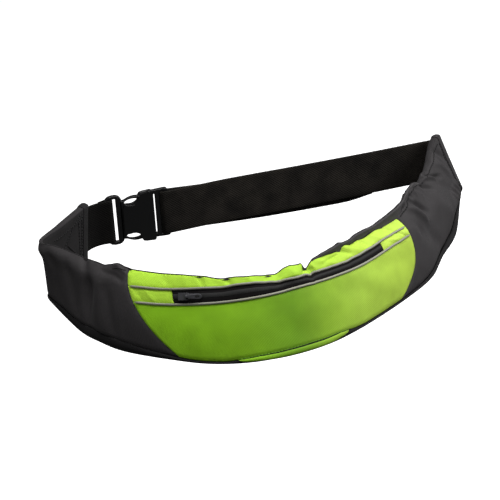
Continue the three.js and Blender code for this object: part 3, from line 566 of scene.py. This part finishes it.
def pack_piece(name, band, left, right, across, down, material):
    """One cloth panel. Its edges sink into the seams that join it to its neighbours."""
    at_from, at_to = seams[left][0], seams[right][0]
    wide = (at_to - at_from) * pack_length
    tall = band_heights[band] * mm

    def point(u, v):
        at = lerp(at_from, at_to, u)
        if band == "binding":
            return on_pack(band, at, v)
        sunk = 0 * u
        for edge, deep in ((u * wide, 1), ((1 - u) * wide, 1), (v * tall, top_tuck.get(band, 1)),
                           ((1 - v) * tall, 1)):
            sunk = np.maximum(sunk, deep * np.exp(-(edge / tuck_width) ** 2))
        return on_pack(band, at, v) - outward(band, at, v) * (tuck_depth * sunk)[:, None]

    piece = laid_grid(name, across, down, point,
                      lambda u, v: outward(band, lerp(at_from, at_to, u), v))
    thicken(piece, cloth)
    finish_piece(piece, material, name)


pack_piece("wing_left", "face", "left_end", "green_left", 180, 60, charcoal_cloth)
pack_piece("wing_right", "face", "green_right", "right_end", 160, 60, charcoal_cloth)
pack_piece("top_strip", "strip", "green_left", "green_right", 320, 16, green_cloth)
pack_piece("front_panel", "front", "green_left", "green_right", 260, 48, green_front)
pack_piece("zip_end_left", "zip", "green_left", "zip_left", 40, 12, green_cloth)
pack_piece("zip_end_right", "zip", "zip_right", "green_right", 40, 12, green_cloth)
pack_piece("zip_tape", "zip", "zip_left", "zip_right", 200, 14, tape_cloth)
pack_piece("bottom_gusset", "gusset", "left_end", "right_end", 300, 18, gusset_cloth)
pack_piece("back_panel", "back", "left_end", "right_end", 300, 36, back_cloth)
pack_piece("top_binding", "binding", "left_end", "right_end", 420, 6, binding_cloth)


# Trims on the cloth

def beside(band, at, share, lift):
    """A point lifted off the skin."""
    lift = lift + np.zeros(len(at))
    return on_pack(band, at, share) + outward(band, at, share) * lift[:, None]


def tube(name, centre, radius, across, around, flat):
    """A round cord along centre(u), flattened across the way that it lies."""
    def point(u, v):
        middle = centre(u)
        ahead = centre(u + 1e-3) - centre(u - 1e-3)
        ahead = ahead / np.linalg.norm(ahead, axis=1)[:, None]
        side = np.cross(ahead, (0, 0, 1))
        side = side / np.linalg.norm(side, axis=1)[:, None]
        rise = np.cross(side, ahead)
        turn = v * 2 * math.pi
        ends = np.sqrt(np.clip(np.minimum(u, 1 - u) * 60, 0, 1))
        across_way = side * (flat * ends * np.cos(turn))[:, None]
        return middle + radius * (across_way + rise * (ends * np.sin(turn))[:, None])

    piece = laid_grid(name, across, around, point)
    welded(piece.data, 1e-6)
    return piece


piping_radius = 1.05 * mm
piping_flat = 0.8
piping_lift = 0.35 * piping_radius
# Shares of the gusset's width that the turned-under lip covers.
lip_span = (0.02, 0.30)
lip_wall = 0.6 * mm
# Shares of the way round between which a hem lies.
hem_span = (0.0005, 0.011)
hem_wall = 0.5 * mm
for node, band, share in (("piping_upper", "strip", 1.0), ("piping_lower", "front", 0.0)):
    def piping_line(u, band=band, share=share):
        at = lerp(seams["green_left"][0], seams["green_right"][0], lerp(0.004, 0.996, u))
        return beside(band, at, share + 0 * u, piping_lift)

    finish_piece(tube(node, piping_line, piping_radius, 300, 8, piping_flat), piping_cloth,
                 node)

lip_from, lip_to = seams["lip_left"][0], seams["lip_right"][0]


def lip_point(u, v):
    """The front panel's edge, turned under the bottom and tapered out at both ends."""
    at = lerp(lip_from, lip_to, u)
    taper = np.sqrt(np.sin(math.pi * np.clip(u, 0, 1)))
    down = lerp(*lip_span, v) * taper
    return beside("gusset", at, down, (0.4 + 0.9 * np.sin(math.pi * v) * taper) * mm)


lip = laid_grid("bottom_lip", 120, 6, lip_point,
                lambda u, v: outward("gusset", lerp(lip_from, lip_to, u), lerp(0.05, 0.3, v)))
thicken(lip, lip_wall)
finish_piece(lip, green_front, "bottom_lip")


def ring_point(end, u, v):
    """Round the end of a wing, from the top of its face down and up its back."""
    reach = lerp(*hem_span, u)
    at = reach if end == 0 else 1 - reach
    turn = v * 4
    bands = ("face", "gusset", "back", "binding")
    spot = np.zeros((len(u), 3))
    for k, band in enumerate(bands):
        here = (turn >= k) & ((turn < k + 1) | (k == 3))
        if here.any():
            share = np.clip(turn[here] - k, 0, 1)
            edge = np.sin(math.pi * np.clip(u[here], 0, 1)) * 0.3 + 0.5
            spot[here] = beside(band, at[here], share, edge * mm)
    return spot


for node, end in (("end_binding_left", 0), ("end_binding_right", 1)):
    hem = laid_grid(node, 8, 160, lambda u, v, end=end: ring_point(end, u, v))
    welded(hem.data, 0.05 * mm)
    shade(hem.data)
    thicken(hem, hem_wall)
    # The left hem takes the lining cloth, and so its painted shade.
    finish_piece(hem, back_cloth if node.endswith("left") else charcoal_cloth, node)

# The zip's closed coil: one low row whose teeth show as fine ribs.
coil_pitch = 1.3 * mm
coil_wall = 0.3 * mm
# Shares of the zip's width that the coil covers, then its lowest height and what the teeth add,
# in mm.
coil_span = (0.34, 0.66)
coil_low, coil_tooth = 0.22, 0.2
zip_from, zip_to = seams["zip_left"][0], seams["zip_right"][0]
coil_teeth = (zip_to - zip_from) * pack_length / coil_pitch


def coil_point(u, v):
    at = lerp(zip_from, zip_to, lerp(0.004, 0.99, u))
    tooth = 0.5 + 0.5 * np.cos(2 * math.pi * u * coil_teeth)
    rise = np.sin(math.pi * v) * (coil_low + coil_tooth * tooth)
    return beside("zip", at, lerp(*coil_span, v), rise * mm)


coil = laid_grid("zip_coil", int(coil_teeth * 6), 6, coil_point,
                 lambda u, v: outward("zip", lerp(zip_from, zip_to, u), v))
thicken(coil, coil_wall)
finish_piece(coil, coil_nylon, "zip_coil")


# The webbing

# Routes from inside each wing to the buckle and round its bar: x, y and the height of the
# webbing's middle, in mm, and its slant, which is 1 where it leans with the right wing's end
# and 0 where it stands upright.
short_route = np.array([
    (-139.5, 69.4, -1.6, 0), (-133.2, 75.6, -1.6, 0), (-127.5, 81.0, -1.6, 0),
    (-124.6, 82.8, -1.6, 0), (-121.6, 84.2, -1.6, 0), (-118.0, 85.2, -1.5, 0),
    (-113.6, 85.5, -1.5, 0), (-107.2, 85.5, -1.5, 0), (-105.9, 85.9, -1.5, 0),
    (-104.9, 86.9, -1.5, 0), (-104.6, 88.2, -1.5, 0), (-104.9, 89.5, -1.5, 0),
    (-105.9, 90.5, -1.5, 0), (-107.2, 90.9, -1.6, 0), (-115.6, 90.9, -3.4, 0),
]) * (mm, mm, mm, 1)
long_route = np.array([
    (185.2, 78.6, 1.0, 1.0), (187.2, 81.8, 1.0, 1.0), (188.2, 84.0, 0.9, 0.9),
    (187.6, 86.4, 0.9, 0.7), (185.0, 88.4, 0.8, 0.5), (178.1, 90.4, 0.5, 0.2),
    (162.0, 90.4, 0.5, 0), (115.9, 88.3, 0.4, 0),
    (56.9, 86.9, 0.2, 0), (-2.1, 86.1, 0.1, 0), (-30.0, 85.8, -0.7, 0),
    (-53.1, 85.5, -1.5, 0), (-61.1, 85.5, -1.5, 0), (-62.4, 85.9, -1.5, 0),
    (-63.4, 86.9, -1.5, 0), (-63.8, 88.2, -1.5, 0), (-63.4, 89.5, -1.5, 0),
    (-62.4, 90.5, -1.5, 0), (-61.1, 90.9, -1.5, 0), (-30.0, 90.9, -3.0, 0),
    (-6.1, 90.9, -4.0, 0), (30.0, 90.9, -5.0, 0), (85.0, 90.9, -5.2, 0),
    (104.0, 90.9, -4.4, 0), (122.3, 90.9, -1.4, 0),
]) * (mm, mm, mm, 1)
wing_slant = np.array([-0.35, 0.195, 0])


def webbing(node, route, across):
    t = np.linspace(0, len(route) - 1, 40 * len(route))
    line = through(route, t)
    steps = np.linalg.norm(np.diff(line[:, :3], axis=0), axis=1)
    way = np.concatenate([[0], np.cumsum(steps)])

    def point(u, v):
        here = through(route, np.interp(u * way[-1], way, t))
        height = (0.5 - v) * webbing_width
        return (here[:, :3] + (height * here[:, 3])[:, None] * wing_slant
                + height[:, None] * np.array([0, 0, 1]))

    piece = laid_grid(node, across, 12, point)
    wall = piece.modifiers.new("thickness", "SOLIDIFY")
    wall.thickness = webbing_thickness
    wall.offset = 0
    soft = piece.modifiers.new("soft_edge", "BEVEL")
    soft.width = webbing_thickness / 4
    soft.segments = 2
    finish_piece(piece, webbing_cloth, node)


webbing("webbing_short", short_route, 90)
webbing("webbing_long", long_route, 420)


# The side-release buckle

# It is drawn flat, in mm: outlines run along the strap with their half height, holes are given
# from, to and half height, and windows by their middle, half length and half height.
buckle_across, buckle_back, buckle_drop = -82.96 * mm, 88.2 * mm, 2.4 * mm
male_thickness, female_thickness, bar_thickness = 3.6 * mm, 6.6 * mm, 3.4 * mm
arms_thickness = 3.6 * mm
shell_rim, loop_rim, frame_rim, arms_rim = 1.2 * mm, 0.6 * mm, 0.5 * mm, 0.45 * mm
loop_outline = np.array([
    (-27.8, 14.4), (-27.7, 17.3), (-26.8, 19.8), (-24.8, 21.5), (-21.8, 22.2), (-18.0, 22.1),
    (-15.8, 21.1), (-14.3, 19.6), (-13.4, 17.4),
])
arms_outline = np.array([
    (-15.4, 17.0), (-13.2, 17.2), (-11.6, 17.4), (-10.0, 18.1), (-8.0, 19.0), (-5.2, 19.8),
    (-2.2, 20.0), (1.2, 19.6), (3.0, 18.4), (3.0, 13.5),
])
arm_window = (-4.6, 15.1, 6.8, 3.1)
shell_outline = np.array([
    (-12.0, 7.6), (-12.0, 10.4), (-11.0, 11.6), (-8.4, 11.5), (-6.2, 11.2), (-3.6, 11.5),
    (-1.0, 12.6), (1.0, 14.4), (1.8, 16.8), (1.9, 18.6), (2.8, 20.0), (4.6, 20.5),
    (11.2, 20.9), (11.8, 20.3),
])
frame_outline = np.array([
    (8.0, 18.8), (9.0, 21.2), (23.0, 21.8), (24.8, 21.5), (25.8, 20.2), (26.2, 17.4),
])
bar_lift = 0.9
inner_slot = (11.4, 14.8, 17.8)
outer_slot = (18.2, 21.9, 19.4)
male_slot = (-22.9, -18.4, 19.3)
rib_size, rib_along, rib_heights = (3.0 * mm, 0.7 * mm, 1.2 * mm), -16.9 * mm, (4.0, -4.5)


def mirrored(outline):
    return np.concatenate([outline, outline[::-1] * (1, -1)])


def slot_hole(from_along, to_along, half):
    return np.array([(from_along, -half), (to_along, -half), (to_along, half),
                     (from_along, half)])


def lifted(*loops):
    """The loops that hold the webbing, level with its middle."""
    return [loop + (0, bar_lift) for loop in loops]


def oval(along, up, half_long, half_high):
    turn = np.linspace(0, 2 * math.pi, 28, endpoint=False)
    return np.stack([along + half_long * np.cos(turn), up + half_high * np.sin(turn)], 1)


def rounded_plate(bm, loops, thickness, bevel):
    """Adds a flat plate with rounded rims and holes, through a filled 2D curve."""
    curve = bpy.data.curves.new("outline", "CURVE")
    curve.dimensions = "2D"
    curve.fill_mode = "BOTH"
    curve.extrude = thickness / 2 - bevel
    curve.bevel_depth = bevel
    curve.bevel_resolution = 2
    curve.offset = -bevel
    for loop in loops:
        spline = curve.splines.new("POLY")
        spline.points.add(len(loop) - 1)
        for dot, (along, up) in zip(spline.points, loop):
            dot.co = (along * mm, up * mm, 0, 1)
        spline.use_cyclic_u = True
    holder = bpy.data.objects.new("outline", curve)
    mesh = bpy.data.meshes.new_from_object(holder)
    bm.from_mesh(mesh)
    bpy.data.objects.remove(holder)
    bpy.data.curves.remove(curve)
    bpy.data.meshes.remove(mesh)


def buckle_piece(node, bm):
    """Stands the drawn plates upright at the buckle's place, with crisp rims."""
    bmesh.ops.remove_doubles(bm, verts=bm.verts, dist=1e-6)
    bmesh.ops.recalc_face_normals(bm, faces=bm.faces)
    for edge in bm.edges:
        if len(edge.link_faces) == 2 and edge.calc_face_angle() > 0.6:
            edge.smooth = False
    upright = Matrix.Translation((buckle_across, buckle_back, -buckle_drop))
    bmesh.ops.transform(bm, matrix=upright @ Matrix.Rotation(math.pi / 2, 4, "X"),
                        verts=bm.verts)
    mesh = bpy.data.meshes.new(node)
    bm.to_mesh(mesh)
    bm.free()
    shade(mesh)
    finish_piece(linked(node, mesh), acetal, node)


bm = bmesh.new()
along, up, half_long, half_high = arm_window
windows = [oval(along, side * up, half_long, half_high) for side in (1, -1)]
rounded_plate(bm, lifted(mirrored(loop_outline), slot_hole(*male_slot)), male_thickness, loop_rim)
rounded_plate(bm, [mirrored(arms_outline), *windows], arms_thickness, arms_rim)
for up in rib_heights:
    rib = bmesh.ops.create_cube(bm, size=1)["verts"]
    bmesh.ops.scale(bm, vec=rib_size, verts=rib)
    bmesh.ops.translate(bm, vec=(rib_along, up * mm, male_thickness / 2), verts=rib)
buckle_piece("buckle_male", bm)

bm = bmesh.new()
rounded_plate(bm, [mirrored(shell_outline)], female_thickness, shell_rim)
rounded_plate(bm, lifted(mirrored(frame_outline), slot_hole(*inner_slot),
                         slot_hole(*outer_slot)), bar_thickness, frame_rim)
buckle_piece("buckle_female", bm)


# The zip's slider and pull keep the frame's shape, with their corners eased

def eased(node, width, material, body):
    """The frame's own shape, with its corners rounded by a small width."""
    bm = bmesh.new()
    bm.from_mesh(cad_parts[node].data)
    bmesh.ops.remove_doubles(bm, verts=bm.verts, dist=1e-6)
    bmesh.ops.dissolve_limit(bm, angle_limit=0.02, verts=bm.verts, edges=bm.edges)
    corners = [edge for edge in bm.edges
               if len(edge.link_faces) == 2 and edge.calc_face_angle() > 0.7]
    bmesh.ops.bevel(bm, geom=corners, offset=width, affect="EDGES", segments=2, profile=0.5,
                    material=-1, clamp_overlap=True)
    bmesh.ops.recalc_face_normals(bm, faces=bm.faces)
    mesh = bpy.data.meshes.new(node)
    bm.to_mesh(mesh)
    bm.free()
    shade(mesh)
    piece = linked(node, mesh)
    piece.matrix_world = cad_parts[node].matrix_world
    finish_piece(piece, material, node, body)


eased("zip_slider", 0.25 * mm, zinc, "pack")
eased("zip_pull", 0.2 * mm, zinc, "pull")


# Stitches

stitch_pitch = 2.6 * mm
stitch_length = 1.9 * mm


def stitches(name, lines, material, radius):
    """Short rods of thread set along lines on the cloth."""
    bm = bmesh.new()
    for line in lines:
        t = np.linspace(0, 1, 200)
        points = line(t)
        way = np.concatenate([[0], np.cumsum(np.linalg.norm(np.diff(points, axis=0), axis=1))])
        for k in range(int(way[-1] / stitch_pitch)):
            start = (k + 0.1) * stitch_pitch
            end = start + stitch_length
            pair = [Vector([np.interp(s, way, points[:, axis]) for axis in range(3)])
                    for s in (start, end)]
            ahead = pair[1] - pair[0]
            turn = ahead.to_track_quat("Z", "Y").to_matrix().to_4x4()
            bmesh.ops.create_cone(bm, cap_ends=True, segments=6, radius1=radius,
                                  radius2=radius, depth=ahead.length,
                                  matrix=Matrix.Translation((pair[0] + pair[1]) / 2) @ turn)
    mesh = bpy.data.meshes.new(name)
    bm.to_mesh(mesh)
    bm.free()
    shade(mesh)
    piece = linked(name, mesh)
    piece.data.materials.append(material)
    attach(piece, "pack")


def stitch_line(band, from_at, from_share, to_at, to_share, lift):
    """A straight line of stitches between two points of a band, lifted in mm."""
    def line(t):
        at, share = lerp(from_at, to_at, t), lerp(from_share, to_share, t)
        return beside(band, at, share, lift * mm)
    return line


# The fan inside the left wing, and the hems and short lines elsewhere: from and to, each as a
# share round and a share of the band's height.
fan = [("back", 0.018, 0.92, 0.100, 0.14), ("back", 0.022, 0.86, 0.106, 0.05),
       ("back", 0.012, 0.06, 0.055, 0.55), ("back", 0.018, 0.06, 0.022, 0.80),
       ("back", 0.014, 0.78, 0.088, 0.80), ("back", 0.014, 0.12, 0.014, 0.88)]
hems = [("face", 0.752, 0.06, 0.800, 0.06), ("face", 0.800, 0.06, 0.868, 0.06),
        ("face", 0.875, 0.07, 0.985, 0.07), ("face", 0.262, 0.10, 0.289, 0.06),
        ("face", 0.987, 0.08, 0.987, 0.95), ("back", 0.987, 0.08, 0.987, 0.95)]
stitches("black_stitches", [stitch_line(*row, lift=0.35) for row in fan]
         + [stitch_line(*row, lift=0.15) for row in hems], thread,
         radius=0.42 * mm)
stitches("green_stitches",
         [stitch_line("front", lip_from + 0.002, 0.985, lip_to, 0.985, lift=0.1)],
         green_thread, radius=0.3 * mm)


# Floor, light and camera

def look_from(thing, azimuth, elevation, distance, target, roll=0.0):
    """Puts a camera or lamp at a distance from target and turns it to face it."""
    a, e = math.radians(azimuth), math.radians(elevation)
    away = Vector((math.sin(a) * math.cos(e), -math.cos(a) * math.cos(e), math.sin(e)))
    turn = away.to_track_quat("Z", "Y").to_matrix().to_4x4()
    thing.matrix_world = (Matrix.Translation(target + distance * away) @ turn
                          @ Matrix.Rotation(math.radians(roll), 4, "Z"))


photo_azimuth, photo_elevation, photo_roll = -15, 27, -3.5
photo_target = Vector((-16 * mm, -10 * mm, 0))
camera_data = bpy.data.cameras.new("camera")
camera_data.sensor_width = 36
camera_data.lens = 128
camera = linked("camera", camera_data)
look_from(camera, photo_azimuth, photo_elevation, 1.4, photo_target, photo_roll)
bpy.context.scene.camera = camera

# Pale floor: near white, bright enough to leave no shadow line. It lights nothing.
floor_level = -0.3
floor_material, floor_tree = new_material("pale_studio_floor")
floor_shader = add_node(floor_tree, "BsdfPrincipled", {"Base Color": (0.95, 0.95, 0.95, 1),
                                                       "Emission Color": (1, 1, 1, 1),
                                                       "Emission Strength": 0.6,
                                                       "Roughness": 0.9})
add_node(floor_tree, "OutputMaterial", {"Surface": floor_shader.outputs[0]})
bm = bmesh.new()
bmesh.ops.create_grid(bm, x_segments=1, y_segments=1, size=6)
bmesh.ops.translate(bm, verts=bm.verts, vec=(0, 0, floor_level))
floor_mesh = bpy.data.meshes.new("floor")
bm.to_mesh(floor_mesh)
bm.free()
floor = linked("floor", floor_mesh)
floor_mesh.materials.append(floor_material)
floor.visible_diffuse = False
floor.visible_glossy = False


def softbox(name, azimuth, elevation, distance, size, power):
    """A square lamp that faces the middle of the belt. Its power is in watts."""
    data = bpy.data.lights.new(name, "AREA")
    data.size = size
    data.energy = power
    look_from(linked(name, data), azimuth, elevation, distance, Vector((0, 0, 0)))


softbox("key", 70, 38, 1.6, 0.8, 23)
softbox("top", 0, 80, 1.6, 1.0, 24)
softbox("fill", -70, 20, 1.8, 1.2, 3)

world = bpy.data.worlds.new("studio")
world.use_nodes = True
world.node_tree.nodes["Background"].inputs["Color"].default_value = (1, 1, 1, 1)
world.node_tree.nodes["Background"].inputs["Strength"].default_value = 0.1
bpy.context.scene.world = world
bpy.context.scene.view_settings.view_transform = "Standard"
